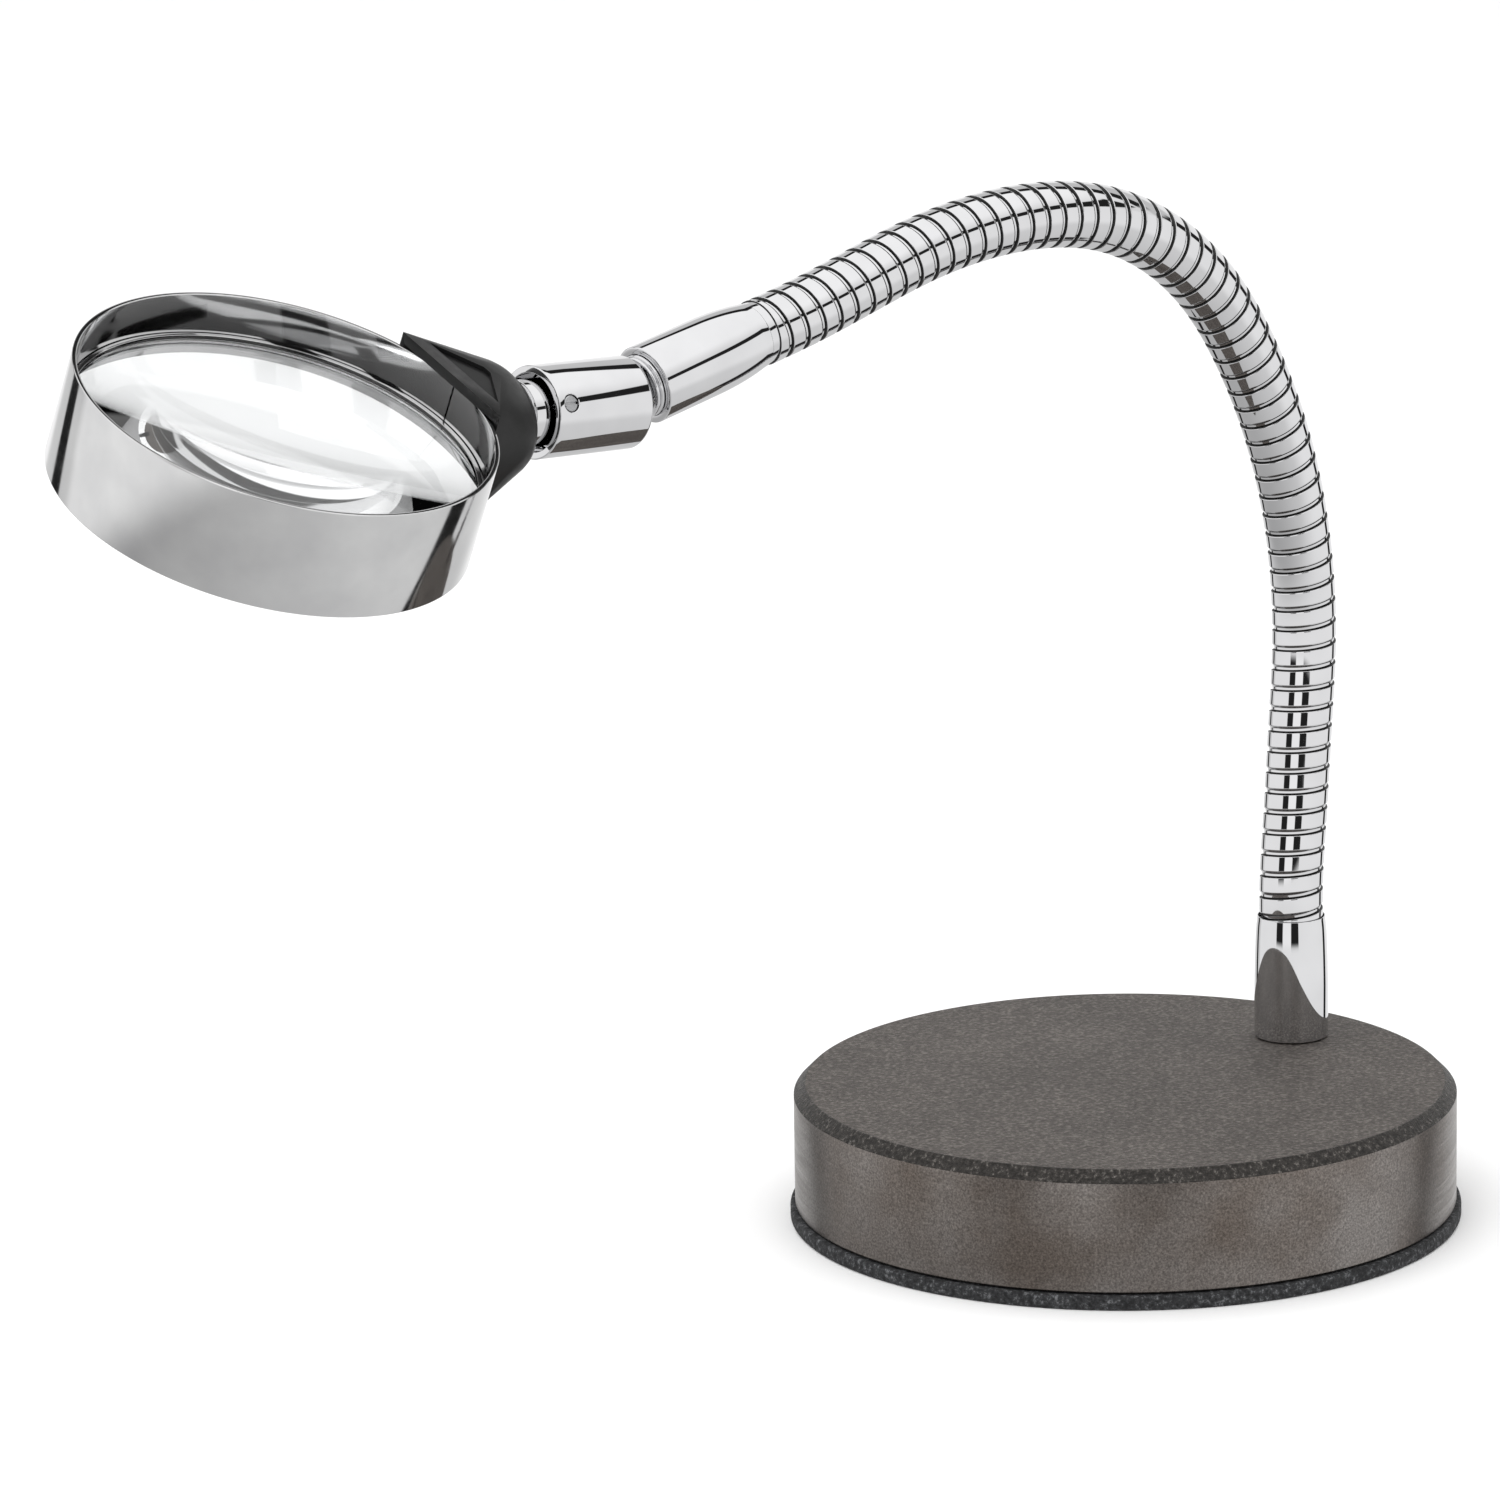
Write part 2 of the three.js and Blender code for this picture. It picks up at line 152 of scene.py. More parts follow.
def make_ring_metal():
    """Bright metal with faint marks drawn along the band."""
    look = Look("ring_metal", (0.66, 0.66, 0.66), 0.12, 1.0)
    look.color(look.ramp(look.noise(14, 3), (0.3, (0.6, 0.6, 0.605)), (0.7, (0.7, 0.7, 0.7))))
    marks = look.noise(3, 3, stretch=(0.2, 0.2, 1.0))
    look.rough(look.ramp(marks, (0.3, 0.05), (0.75, 0.1)))
    return look.material


def make_steel():
    look = Look("steel", (0.5, 0.51, 0.52), 0.35, 1.0)
    look.color(look.ramp(look.noise(3, 4), (0.3, (0.42, 0.43, 0.44)), (0.7, (0.58, 0.58, 0.59))))
    look.rough(look.ramp(look.noise(0.6, 3), (0.3, 0.28), (0.7, 0.45)))
    return look.material


def make_brass():
    look = Look("brass", (0.62, 0.45, 0.18), 0.3, 1.0)
    look.color(look.ramp(look.noise(2, 3), (0.3, (0.55, 0.38, 0.14)), (0.7, (0.68, 0.5, 0.22))))
    return look.material


def make_nylon():
    look = Look("nylon", (0.78, 0.76, 0.7), 0.5)
    look.color(look.ramp(look.noise(2, 3), (0.3, (0.74, 0.72, 0.66)), (0.7, (0.82, 0.8, 0.74))))
    return look.material


def make_painted_gap_shade():
    """Painted shade: a near-black colour for the gaps between the neck's turns, where the turns shade
    each other.
    """
    look = Look("neck_core_painted_shade", (0.03, 0.03, 0.032), 0.5, 0.6)
    look.color(look.ramp(look.noise(1, 3), (0.3, 0.015), (0.7, 0.05)))
    return look.material


def make_base_top():
    """Fine-grained dark coating, a little uneven, with pale specks."""
    look = Look("base_coating", (0.16, 0.15, 0.14), 0.62, 0.35)
    grain = look.noise(1.0, 5, roughness=0.72)
    cloud = look.noise(26, 3)
    pits, skin, specks = (0.045, 0.038, 0.034), (0.088, 0.077, 0.069), (0.2, 0.18, 0.163)
    fine = look.ramp(grain, (0.36, pits), (0.52, skin), (0.66, specks))
    tone = look.ramp(cloud, (0.3, 0.86), (0.7, 1.12))
    mixed = look.node("Mix", {"data_type": "RGBA", "blend_type": "MULTIPLY"})
    look.feed(mixed, "0", 1.0)
    look.feed(mixed, "6", fine)
    look.feed(mixed, "7", tone)
    look.color(mixed.outputs[2])
    look.bump(grain, 0.8, 0.4)
    return look.material


def make_base_chamfer_glitter_and_shade():
    """The coating on the chamfer: coarser and glittering, with a darker tone that is painted shade for
    faces turned from the light.
    """
    look = Look("base_chamfer", (0.09, 0.085, 0.08), 0.5, 0.6)
    grain = look.noise(1.1, 5, roughness=0.75)
    pits, skin, specks = (0.02, 0.018, 0.016), (0.05, 0.045, 0.041), (0.26, 0.24, 0.22)
    look.color(look.ramp(grain, (0.4, pits), (0.56, skin), (0.7, specks)))
    look.bump(grain, 0.9, 0.5)
    return look.material


def make_base_side():
    """Turned iron: fine lines round the side and a brown cast."""
    look = Look("base_side", (0.3, 0.275, 0.262), 0.42, 1.0)
    lines = look.noise(0.7, 4, stretch=(0.03, 0.03, 1.0))
    specks = look.noise(0.5, 4, roughness=0.7)
    tint = look.ramp(look.noise(22, 3), (0.3, (0.15, 0.126, 0.11)), (0.7, (0.24, 0.222, 0.21)))
    speck = look.ramp(specks, (0.36, 0.6), (0.52, 1.0), (0.68, 1.5))
    mixed = look.node("Mix", {"data_type": "RGBA", "blend_type": "MULTIPLY"})
    look.feed(mixed, "0", 1.0)
    look.feed(mixed, "6", tint)
    look.feed(mixed, "7", speck)
    look.color(mixed.outputs[2])
    look.rough(look.ramp(lines, (0.3, 0.26), (0.7, 0.38)))
    look.bump(lines, 0.2, 0.1)
    return look.material


def make_foam():
    look = Look("foam", (0.05, 0.052, 0.056), 0.9)
    cells = look.noise(1.2, 5, roughness=0.75)
    pits, skin, specks = (0.01, 0.01, 0.011), (0.035, 0.036, 0.038), (0.16, 0.162, 0.17)
    look.color(look.ramp(cells, (0.4, pits), (0.55, skin), (0.66, specks)))
    look.bump(cells, 0.7, 0.3)
    return look.material


def make_black_plastic():
    look = Look("black_plastic", (0.006, 0.006, 0.0065), 0.36)
    look.shader.inputs["Specular IOR Level"].default_value = 0.32
    look.color(look.ramp(look.noise(6, 3), (0.3, 0.0045), (0.7, 0.0075)))
    skin = look.noise(0.35, 3)
    look.rough(look.ramp(look.noise(3, 3), (0.3, 0.34), (0.7, 0.44)))
    look.bump(skin, 0.15, 0.03)
    return look.material


def make_glass():
    look = Look("lens_glass", (0.87, 0.88, 0.885), 0.0)
    look.shader.inputs["Transmission Weight"].default_value = 1.0
    look.shader.inputs["IOR"].default_value = 1.5
    look.rough(look.ramp(look.noise(20, 2), (0.45, 0.0), (0.8, 0.012)))
    return look.material


def make_ground_glass():
    look = Look("lens_edge", (0.8, 0.82, 0.82), 0.5)
    look.shader.inputs["Transmission Weight"].default_value = 0.6
    look.color(look.ramp(look.noise(0.4, 3), (0.3, 0.7), (0.7, 0.85)))
    return look.material


CHROME = make_chrome()
RING_METAL = make_ring_metal()
STEEL = make_steel()
BRASS = make_brass()
NYLON = make_nylon()
PAINTED_GAP_SHADE = make_painted_gap_shade()
BASE_TOP_LOOK = make_base_top()
BASE_CHAMFER_GLITTER_AND_SHADE = make_base_chamfer_glitter_and_shade()
BASE_SIDE_LOOK = make_base_side()
FOAM = make_foam()
BLACK_PLASTIC = make_black_plastic()
GLASS = make_glass()
GROUND_GLASS = make_ground_glass()


# ---------------------------------------------------------------- mesh code
def new_piece(name, vertices, faces, materials, picks=None, sharp=35, frame_matrix=None):
    """A mesh from millimetre vertices in a local frame, placed in the row frame in metres."""
    place = np.array(frame_matrix or Matrix.Identity(4))
    points = np.asarray(vertices, float)
    points = (points @ place[:3, :3].T + place[:3, 3]) * MM
    mesh = bpy.data.meshes.new(name)
    mesh.from_pydata(points.tolist(), [], faces)
    for material in materials:
        mesh.materials.append(material)
    if picks is not None:
        mesh.polygons.foreach_set("material_index", picks)
    mesh.polygons.foreach_set("use_smooth", [True] * len(mesh.polygons))
    mesh.set_sharp_from_angle(angle=math.radians(sharp))
    mesh.update()
    piece = bpy.data.objects.new(name, mesh)
    bpy.context.scene.collection.objects.link(piece)
    return piece


def filleted(points, closed=False, steps=4):
    """A (radius, height) outline whose corners with a third number are rounded to that radius."""
    outline = []
    count = len(points)
    for i, point in enumerate(points):
        radius = point[2] if len(point) > 2 else 0
        if not radius:
            outline.append(point[:2])
            continue
        corner = np.array(point[:2], float)
        before = np.array(points[(i - 1) % count][:2], float) - corner
        after = np.array(points[(i + 1) % count][:2], float) - corner
        before /= np.linalg.norm(before)
        after /= np.linalg.norm(after)
        half = math.acos(np.clip(before @ after, -1, 1)) / 2
        middle = (before + after) / np.linalg.norm(before + after)
        centre = corner + middle * radius / math.sin(half)
        first = corner + before * radius / math.tan(half) - centre
        last = corner + after * radius / math.tan(half) - centre
        sweep = math.acos(np.clip(first @ last / radius**2, -1, 1))
        for k in range(steps + 1):
            t = k / steps
            bent = math.sin((1 - t) * sweep) * first + math.sin(t * sweep) * last
            outline.append(tuple(centre + bent / math.sin(sweep)))
    return outline


def revolve(name, outline, place, material, closed=False, sides=96, pick=None, materials=None):
    """A body turned about the place's Z from a (radius, height) outline, solid on its left."""
    rings = []
    vertices = []
    for radius, height in outline:
        if radius < 1e-6:
            rings.append([len(vertices)] * sides)
            vertices.append((0, 0, height))
            continue
        rings.append(list(range(len(vertices), len(vertices) + sides)))
        for k in range(sides):
            angle = 2 * math.pi * k / sides
            vertices.append((radius * math.cos(angle), radius * math.sin(angle), height))
    pairs = list(zip(rings, rings[1:]))
    if closed:
        pairs.append((rings[-1], rings[0]))
    faces = []
    picks = []
    for row, (low, high) in enumerate(pairs):
        for k in range(sides):
            n = (k + 1) % sides
            corners = list(dict.fromkeys((low[k], low[n], high[n], high[k])))
            faces.append(corners)
            picks.append(pick(outline[row], outline[(row + 1) % len(outline)]) if pick else 0)
    return new_piece(name, vertices, faces, materials or [material], picks, frame_matrix=place)


def axes_at(origin, z_axis, y_axis):
    """A frame in millimetres with a Z axis and a Y axis at right angles to it."""
    z_axis = Vector(z_axis).normalized()
    y_axis = Vector(y_axis).normalized()
    x_axis = y_axis.cross(z_axis)
    matrix = Matrix((x_axis, y_axis, z_axis)).transposed().to_4x4()
    matrix.translation = Vector(origin)
    return matrix


def sphere_arc(radius, centre, start, end, steps):
    """Outline points on a sphere, at angles from the axis in degrees."""
    angles = np.radians(np.linspace(start, end, steps + 1))
    return [(radius * math.sin(a), centre + radius * math.cos(a)) for a in angles]


# ---------------------------------------------------------------- places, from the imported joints
def joint_place(name):
    return Vector(JOINTS[name]["pos_m"]) / MM


BALL = joint_place("ball_tilt")
LAST_PIVOT = joint_place("neck_bend_16")
FERRULE_AXIS = (BALL - LAST_PIVOT).normalized()
HEAD_AXIS = Vector(JOINTS["head_turn"]["axis"])
SIDEWAYS = Vector((0, 1, 0))
HOSE_END = BALL - FERRULE_AXIS * (FERRULE_LENGTH + BALL_TO_FERRULE)
FERRULE_PLACE = axes_at(HOSE_END, FERRULE_AXIS, SIDEWAYS)
HEAD_PLACE = axes_at(BALL, HEAD_AXIS, SIDEWAYS)
ROLL = Matrix.Rotation(math.radians(HEAD_ROLL), 4, "Z")
TO_RING = Matrix.Translation((0, 0, RING_CENTRE)) @ Matrix.Rotation(math.pi / 2, 4, "Y")
RING_PLACE = HEAD_PLACE @ ROLL @ TO_RING
POST_X = joint_place("neck_bend_01").x


# ---------------------------------------------------------------- base
def make_base():
    def zone(a, b):
        if abs(b[1] - a[1]) < 1e-3 and a[1] > BASE_TOP - 0.5:
            return 0
        # The chamfer and its rounds take the chamfer coating: its glitter is the coating's own, and its
        # darker tone is painted shade.
        if min(a[1], b[1]) > BASE_TOP - 3.2:
            return 1
        return 2

    outline = filleted([
        (0, BASE_BOTTOM),
        (BASE_RADIUS, BASE_BOTTOM, 0.5),
        (BASE_RADIUS, BASE_TOP - 2.5, 0.35),
        (BASE_RADIUS - 2.5, BASE_TOP, 0.5),
        (0, BASE_TOP),
    ])
    disc = revolve("base_body", outline, Matrix.Identity(4), None, sides=256, pick=zone,
                   materials=[BASE_TOP_LOOK, BASE_CHAMFER_GLITTER_AND_SHADE, BASE_SIDE_LOOK])
    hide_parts("base_disc")
    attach(disc, "base")

    outline = filleted([(0, 0), (PAD_RADIUS, 0, 0.7), (PAD_RADIUS, PAD_TOP, 0.7), (0, PAD_TOP)])
    pad = revolve("foot_foam", outline, Matrix.Identity(4), FOAM, sides=256)
    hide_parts("foot_pad")
    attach(pad, "base")


def make_lower_ferrule():
    place = Matrix.Translation((POST_X, 0, 0))
    taper = [(8.5, 44), (8.47, 46), (8.43, 48), (8.38, 50), (8.32, 52), (8.25, 54)]
    taper += [(8.18, 55.5), (8.09, 57), (8.0, 58), (7.92, 58.7), (7.86, 59.3)]
    outline = filleted([
        (2.8, FERRULE_BOTTOM),
        (8.5, FERRULE_BOTTOM, 0.25),
        *taper,
        (7.82, FERRULE_TOP, 0.1),
        (7.6, FERRULE_TOP, 0.06),
        (7.6, 43.5),
        (2.8, 43.5),
    ], closed=True, steps=6)
    ferrule = revolve("post_ferrule", outline, place, CHROME, closed=True, sides=128)
    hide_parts("lower_ferrule")
    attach(ferrule, "base")


# ---------------------------------------------------------------- neck
def spline_through(points):
    """Second derivatives of a natural cubic spline through points, and its parameter at each."""
    points = np.array(points, float)
    steps = np.linalg.norm(np.diff(points, axis=0), axis=1)
    knots = np.concatenate([[0], np.cumsum(steps)])
    count = len(points)
    system = np.eye(count)
    right = np.zeros((count, 3))
    for i in range(1, count - 1):
        system[i, i - 1 : i + 2] = [steps[i - 1], 2 * (steps[i - 1] + steps[i]), steps[i]]
        slopes = np.diff(points[i - 1 : i + 2], axis=0) / steps[i - 1 : i + 1, None]
        right[i] = 6 * (slopes[1] - slopes[0])
    return points, knots, np.linalg.solve(system, right)


class HoseLine:
    """The hose's centre line, by length from its lowest point."""

    def __init__(self, points):
        self.points, self.knots, self.bends = spline_through(points)
        fine = np.linspace(0, self.knots[-1], 4000)
        places = np.array([self.at_parameter(u)[0] for u in fine])
        run = np.concatenate([[0], np.cumsum(np.linalg.norm(np.diff(places, axis=0), axis=1))])
        self.fine, self.run = fine, run
        self.length = run[-1]

    def at_parameter(self, u):
        i = int(np.clip(np.searchsorted(self.knots, u) - 1, 0, len(self.knots) - 2))
        step = self.knots[i + 1] - self.knots[i]
        a = (self.knots[i + 1] - u) / step
        b = 1 - a
        low, high = self.bends[i], self.bends[i + 1]
        place = a * self.points[i] + b * self.points[i + 1]
        place = place + ((a**3 - a) * low + (b**3 - b) * high) * step**2 / 6
        slope = (self.points[i + 1] - self.points[i]) / step
        slope = slope + ((1 - 3 * a**2) * low + (3 * b**2 - 1) * high) * step / 6
        return place, slope / np.linalg.norm(slope)

    def at(self, distance):
        return self.at_parameter(np.interp(distance, self.run, self.fine))

    def distance_of(self, place):
        places = np.array([self.at_parameter(u)[0] for u in self.fine[::8]])
        nearest = int(np.argmin(np.linalg.norm(places - np.array(place), axis=1)))
        return self.run[::8][nearest]


# One turn of the strip: (share of the pitch, radius, how far its face leans back in degrees).
STRIP = [
    (0.06, 6.2, 60),
    (0.066, 6.82, 25),
    (0.08, 6.86, 3),
    (0.17, 6.89, 3),
    (0.195, 6.93, 22),
    (0.23, 7.06, 40),
    (0.27, 7.23, 38),
    (0.3, 7.31, 20),
    (0.333, 7.35, 0),
    (0.6, 7.35, 0),
    (0.945, 7.35, 0),
    (0.972, 7.33, -18),
    (0.988, 7.27, -45),
    (0.997, 7.15, -70),
    (1.0, 6.2, -85),
]
TURN_STEPS = 56
LINING_LAP = 1.5


def make_neck():
    mouth = Vector((POST_X, 0, FERRULE_TOP))
    foot = mouth - Vector((0, 0, 12))
    pivots = [joint_place(joint["name"]) for joint in NECK_JOINTS]
    tip = HOSE_END + FERRULE_AXIS * 3
    line = HoseLine([foot, mouth - Vector((0, 0, 2)), *pivots, tip])
    middles = [(line.distance_of(a) + line.distance_of(b)) / 2 for a, b in zip(pivots, pivots[1:])]
    cuts = [0, *middles, line.length - 3.05]
    for i, joint in enumerate(NECK_JOINTS):
        number = "%02d" % (i + 1)
        at = line.distance_of(pivots[i])
        if abs(joint["axis"][1]) > 0.99:
            # A hinge in the arch's plane: the turns part at it, and the linings overlap inside.
            first = wind_strip("hose_turns_%s_low" % number, line, cuts[i], at)
            second = wind_strip("hose_turns_%s_high" % number, line, at, cuts[i + 1])
            inner = make_core("hose_core_%s_low" % number, line, cuts[i], at + LINING_LAP, 6.3)
            outer = make_core("hose_core_%s_high" % number, line, at - LINING_LAP, cuts[i + 1], 6.2)
            rides = {"parent": (first, inner), "child": (second, outer)}
            for body, pieces in rides.items():
                for piece in pieces:
                    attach(piece, joint[body])
            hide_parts("neck_link_%s" % number)
            if i == len(NECK_JOINTS) - 1:
                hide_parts("neck_link_%02d" % (i + 2))
            continue
        strip = wind_strip("hose_turns_%s" % number, line, cuts[i], cuts[i + 1])
        core = make_core("hose_core_%s" % number, line, cuts[i], cuts[i + 1], 6.3)
        for piece in (strip, core):
            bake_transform(piece)
        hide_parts("neck_link_%s" % number)


def hose_point(line, distance, angle, radius):
    place, along = line.at(distance)
    across = np.array([along[2], 0, -along[0]])
    outward = math.cos(angle) * across + math.sin(angle) * np.array([0, 1, 0])
    return place + radius * outward, outward, along


def wind_strip(name, line, start, end):
    """The helical strip whose turns begin between two lengths; neighbours meet at the same cut."""
    first = math.ceil(start / HOSE_PITCH * TURN_STEPS)
    final = math.ceil(end / HOSE_PITCH * TURN_STEPS)
    vertices, normals = [], []
    hose_end = line.length - 3
    for j in range(first, final + 1):
        angle = 2 * math.pi * j / TURN_STEPS
        for share, radius, lean in STRIP:
            distance = (j / TURN_STEPS + share) * HOSE_PITCH
            point, outward, along = hose_point(line, min(distance, hose_end), angle, radius)
            vertices.append(point)
            lean = math.radians(lean)
            normals.append(math.cos(lean) * outward - math.sin(lean) * along)
    width = len(STRIP)
    faces, picks = [], []
    for j in range(final - first):
        for k in range(width - 1):
            a = j * width + k
            faces.append((a, a + width, a + width + 1, a + 1))
            # The groove walls and the rolled edge dipping into the gap take the black gap colour:
            # painted shade between the turns.
            picks.append(1 if min(STRIP[k][1], STRIP[k + 1][1]) < 6.8 or k > width - 4 else 0)
    piece = new_piece(name, vertices, faces, [CHROME, PAINTED_GAP_SHADE], picks, sharp=180)
    piece.data.normals_split_custom_set_from_vertices([tuple(n) for n in normals])
    return piece


def make_core(name, line, start, end, radius):
    """The wire lining under the turns, coloured near-black as painted shade where it shows between the
    turns.
    """
    sides = 32
    steps = max(2, round((end - start) / 1.2))
    vertices = []
    for j in range(steps + 1):
        for k in range(sides):
            distance = start + (end - start) * j / steps
            point, _, _ = hose_point(line, distance, 2 * math.pi * k / sides, radius)
            vertices.append(point)
    faces = []
    for j in range(steps):
        for k in range(sides):
            n = (k + 1) % sides
            faces.append((j * sides + k, j * sides + n, (j + 1) * sides + n, (j + 1) * sides + k))
    return new_piece(name, vertices, faces, [PAINTED_GAP_SHADE])


# ---------------------------------------------------------------- upper ferrule and ball
def make_upper_ferrule():
    taper = [(7.4, 3.0), (7.66, 4.4), (7.9, 6), (8.14, 8), (8.32, 10), (8.44, 12)]
    taper += [(8.52, 14), (8.55, 16)]
    outline = filleted([
        (4.3, 0),
        (7.05, 0, 0.25),
        (7.05, 2.1, 0.1),
        (7.35, 2.4, 0.1),
        *taper,
        (8.55, FERRULE_LENGTH, 0.35),
        (6.9, FERRULE_LENGTH, 0.2),
        (6.9, FERRULE_LENGTH - 0.8, 0.1),
        (4.3, FERRULE_LENGTH - 0.8),
    ], closed=True)
    ferrule = revolve("neck_ferrule", outline, FERRULE_PLACE, CHROME, closed=True, sides=128)
    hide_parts("upper_ferrule")
    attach(ferrule, "ferrule")

    face = FERRULE_LENGTH
    centre = FERRULE_LENGTH + BALL_TO_FERRULE
    outline = [(0, 17), (3.6, 17), (3.6, face - 0.4), (6.0, face - 0.4)]
    for bead in range(2):
        low = face - 0.3 + 1.25 * bead
        outline += [(6.2, low)]
        round_bead = np.linspace(0.2, math.pi - 0.2, 8)
        outline += [(6.25 + 0.65 * math.sin(a), low + 0.6 - 0.55 * math.cos(a)) for a in round_bead]
    outline += [(6.1, face + 2.3), (3.5, face + 2.3)]
    neck_angle = 180 - math.degrees(math.asin(3.4 / 6.7))
    outline += sphere_arc(6.7, centre, neck_angle, 0, 20)
    outline[-1] = (0, outline[-1][1])
    stud = revolve("ball_and_stud", outline, FERRULE_PLACE, CHROME, sides=96)
    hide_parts("ball_stud")
    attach(stud, "ferrule")


# ---------------------------------------------------------------- sleeve
SLEEVE_RADIUS, SLEEVE_BORE, SLEEVE_BACK, SLEEVE_FRONT = 9.95, 8.4, -6.5, 19.3
GRUB_ALONG, GRUB_RADIUS, GRUB_UP = 15.9, 1.7, 18.0


def make_sleeve():
    """A tube with a round screw hole: a grid wall in which one patch closes in on the hole."""
    sides, half = 120, 4
    hole = GRUB_RADIUS + 0.3
    outline = filleted([
        (SLEEVE_BORE, SLEEVE_BACK, 0.2),
        (SLEEVE_RADIUS, SLEEVE_BACK, 1.0),
        (SLEEVE_RADIUS, SLEEVE_FRONT, 0.3),
        (SLEEVE_BORE, SLEEVE_FRONT, 0.2),
    ], closed=True, steps=5)
    wall = [i for i, (r, _) in enumerate(outline) if abs(r - SLEEVE_RADIUS) < 1e-6]
    low, high = wall[0], wall[-1]
    side = SLEEVE_RADIUS * math.radians(360 / sides) * half
    heights = [GRUB_ALONG - side + 2 * side * k / (2 * half) for k in range(2 * half + 1)]
    outline = outline[: low + 1] + [(SLEEVE_RADIUS, h) for h in heights] + outline[high:]
    vertices, rings = [], []
    for radius, height in outline:
        rings.append(list(range(len(vertices), len(vertices) + sides)))
        for k in range(sides):
            angle = 2 * math.pi * (k - half) / sides
            vertices.append((radius * math.cos(angle), radius * math.sin(angle), height))
    first = low + 1
    faces = []
    for row in range(len(rings)):
        up = (row + 1) % len(rings)
        for k in range(sides):
            if first <= row < first + 2 * half and k < 2 * half:
                continue
            n = (k + 1) % sides
            faces.append((rings[row][k], rings[row][n], rings[up][n], rings[up][k]))
    border = [rings[first][k] for k in range(2 * half)]
    border += [rings[first + k][2 * half] for k in range(2 * half)]
    border += [rings[first + 2 * half][2 * half - k] for k in range(2 * half)]
    border += [rings[first + 2 * half - k][0] for k in range(2 * half)]
    loops = [border]
    for radius, depth in ((hole + 0.12, 0.0), (hole, 0.12), (hole, 1.2)):
        loop = []
        for index in border:
            x, y, z = vertices[index]
            turn = math.atan2(z - GRUB_ALONG, SLEEVE_RADIUS * math.atan2(y, x))
            angle = radius * math.cos(turn) / SLEEVE_RADIUS
            reach = SLEEVE_RADIUS - depth
            loop.append(len(vertices))
            height = GRUB_ALONG + radius * math.sin(turn)
            vertices.append((reach * math.cos(angle), reach * math.sin(angle), height))
        loops.append(loop)
    for outer, inner in zip(loops, loops[1:]):
        for k in range(len(border)):
            n = (k + 1) % len(border)
            faces.append((outer[k], outer[n], inner[n], inner[k]))
    place = HEAD_PLACE @ grub_turn()
    return new_piece("socket_sleeve", vertices, faces, [CHROME], sharp=30, frame_matrix=place)


def grub_turn():
    """Turns the socket's +X towards the clamp screw."""
    return Matrix.Rotation(math.radians(GRUB_UP - 90), 4, "Z")


def make_grub():
    tilt = Matrix.Rotation(math.pi / 2, 4, "Y")
    place = HEAD_PLACE @ grub_turn() @ Matrix.Translation((0, 0, GRUB_ALONG)) @ tilt
    top, floor, slot = 9.75, 9.1, 0.28
    vertices, faces = [], []
    steps = 40
    edge = []
    for k in range(steps):
        angle = 2 * math.pi * (k + 0.5) / steps
        edge.append((GRUB_RADIUS * math.cos(angle), GRUB_RADIUS * math.sin(angle)))
    for side in (1, -1):
        points = [p for p in edge if side * p[1] > slot]
        points.sort(key=lambda p: -side * p[0])
        reach = math.sqrt(GRUB_RADIUS**2 - slot**2)
        points = [(side * reach, side * slot), *points, (-side * reach, side * slot)]
        base = len(vertices)
        count = len(points)
        for height, shrink in ((7.6, 1.0), (top - 0.15, 1.0), (top, 0.9)):
            for x, y in points:
                on_slot = abs(y) <= slot + 1e-6
                vertices.append((x * shrink, y if on_slot else y * shrink, height))
        for level in range(2):
            for k in range(count):
                n = (k + 1) % count
                a, b = base + level * count, base + (level + 1) * count
                faces.append((a + k, a + n, b + n, b + k))
        faces.append(tuple(base + 2 * count + k for k in range(count)))
    base = len(vertices)
    reach = math.sqrt(GRUB_RADIUS**2 - slot**2)
    vertices += [(-reach, -slot, floor), (reach, -slot, floor)]
    vertices += [(reach, slot, floor), (-reach, slot, floor)]
    faces.append((base, base + 1, base + 2, base + 3))
    return new_piece("grub_screw", vertices, faces, [STEEL], frame_matrix=place)


def make_socket():
    sleeve = make_sleeve()
    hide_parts("clamp_sleeve")
    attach(sleeve, "socket")
    grub = make_grub()
    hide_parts("clamp_screw")
    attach(grub, "socket")
    section = [(6.8, -5.9, 0.15), (8.1, -5.9), (8.1, -4.9), (6.8, -4.9, 0.15)]
    outline = filleted(section, closed=True)
    ring = revolve("ball_keeper", outline, HEAD_PLACE, STEEL, closed=True, sides=72)
    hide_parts("ball_retaining_ring")
    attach(ring, "retaining_ring")


# ---------------------------------------------------------------- head
def make_stem():
    outline = filleted([
        (0, 12.2),
        (8.1, 12.2),
        (8.1, 13.9),
        (7.2, 13.9),
        (7.2, 23.3, 0.15),
        (6.75, 23.45, 0.1),
        (6.75, 23.85, 0.1),
        (7.2, 24.0, 0.3),
        (7.2, 25.3, 0.3),
        (2.2, 25.3),
        (2.2, 33.6),
        (0, 33.6),
    ])
    stem = revolve("handle_stem", outline, HEAD_PLACE, CHROME, sides=96)
    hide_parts("stem")
    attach(stem, "head")


